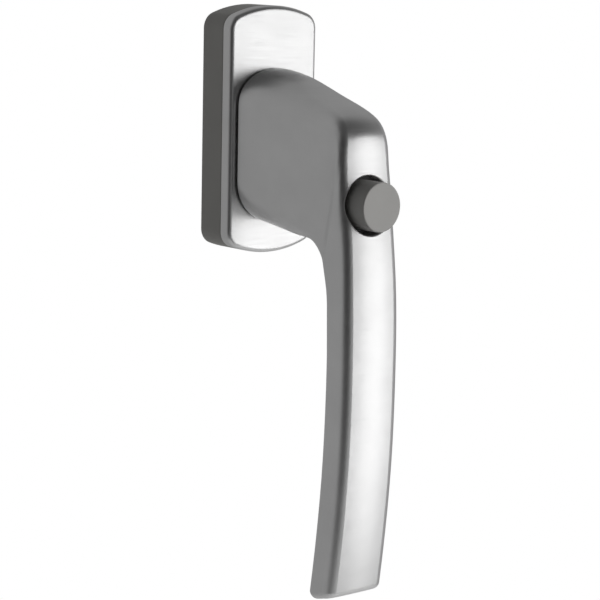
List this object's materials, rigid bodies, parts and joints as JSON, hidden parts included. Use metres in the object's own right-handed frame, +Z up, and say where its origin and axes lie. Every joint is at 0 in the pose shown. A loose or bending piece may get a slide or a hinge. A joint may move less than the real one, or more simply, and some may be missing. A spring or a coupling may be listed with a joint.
{
  "type": "tilt turn window handle",
  "caption": "Tilt turn window handle: tall rosette, bent neck with a flat bowed grip, push button lock and sliding square spindle.",
  "frame": {"origin": "on the spindle axis, in the plane of the rosette's mounting face", "axes": "+X to the right seen from the room, -Y towards the user, +Y into the sash along the spindle, +Z up; the grip hangs down to -Z (closed)"},
  "size_m": [0.0314, 0.0693, 0.1631],
  "materials": {
    "aluminium_satin": "fine satin anodised",
    "grey_plastic": "fine moulded grain, matte",
    "button_plastic": "fine moulded grain, matte",
    "dark_plastic": "matte black acetal",
    "white_plastic": "natural acetal",
    "zinc_steel": "bright zinc plated",
    "zinc_cast": "raw zinc die casting",
    "spring_steel": "blank spring steel"
  },
  "bodies": {
    "rosette": {"base_plate": "grey_plastic", "support_plate": "zinc_steel", "lock_ring": "zinc_cast", "bearing_bush": "white_plastic", "thrust_washer": "zinc_steel", "detent_springs": "spring_steel"},
    "handle": {"handle_body": "aluminium_satin", "drive_sleeve": "zinc_steel", "sleeve_screws": "zinc_steel", "detent_cam": "zinc_cast", "retaining_ring": "spring_steel", "spindle_clip": "spring_steel", "button_guide": "dark_plastic", "return_spring": "spring_steel"},
    "button": {"button": "button_plastic", "plunger": "zinc_steel", "lock_slider": "zinc_cast", "lock_pin": "zinc_steel", "plunger_clip": "spring_steel"},
    "cover": {"cover_plate": "aluminium_satin", "cover_frame": "dark_plastic", "glide_ring": "dark_plastic"},
    "spindle": {"spindle": "zinc_steel"}
  },
  "joints": [
    {"name": "handle_turn", "type": "hinge", "parent": "rosette", "child": "handle", "pos_m": [0, 0, 0], "axis": [0, -1, 0], "range_deg": [0, 180], "deforming": ["detent_springs"]},
    {"name": "button_press", "type": "slide", "parent": "handle", "child": "button", "axis": [0, 1, 0], "range_m": [0, 0.0036], "stiffness_N_per_m": 1200, "springref_m": -0.003, "deforming": ["return_spring"]},
    {"name": "cover_turn", "type": "hinge", "parent": "rosette", "child": "cover", "pos_m": [0, 0, 0], "axis": [0, -1, 0], "range_deg": [-90, 90]},
    {"name": "spindle_slide", "type": "slide", "parent": "handle", "child": "spindle", "axis": [0, 1, 0], "range_m": [0, 0.022]}
  ]
}
